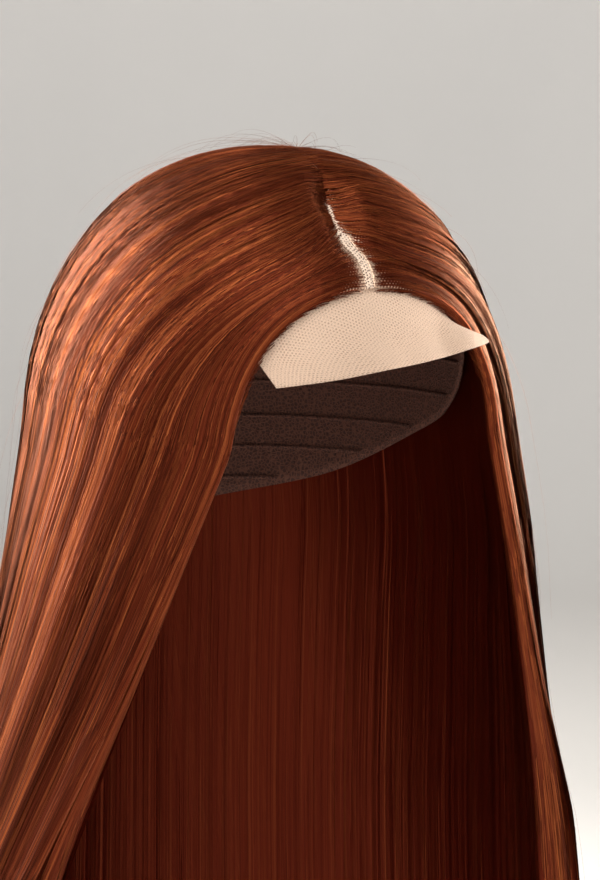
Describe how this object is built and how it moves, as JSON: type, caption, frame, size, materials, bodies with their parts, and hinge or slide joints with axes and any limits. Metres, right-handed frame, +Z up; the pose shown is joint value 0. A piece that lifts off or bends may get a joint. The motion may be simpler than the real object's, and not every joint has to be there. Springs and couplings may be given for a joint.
{
  "type": "lace front wig",
  "caption": "Long straight centre-parted wig on a domed net cap, with lace along the part and an untrimmed lace front over the forehead; the hair falls past the shoulders.",
  "frame": {"origin": "inside of the cap's crown, the point that rests on the top of the head", "axes": "+Z up, the face opening towards -Y, the wearer's left at +X"},
  "size_m": [0.3042, 0.2389, 0.5672],
  "materials": {
    "hair": "sleek copper red synthetic fibre with a soft sheen",
    "cap_net": "matte stretch net",
    "lace": "sheer matte beige lace net"
  },
  "bodies": {
    "root": {"cap": "cap_net", "lace_front": "lace", "lace_part": "lace", "hair_front_right": "hair", "hair_front_left": "hair", "hair_side_right": "hair", "hair_side_left": "hair", "hair_back_right": "hair", "hair_back_left": "hair"}
  },
  "joints": []
}
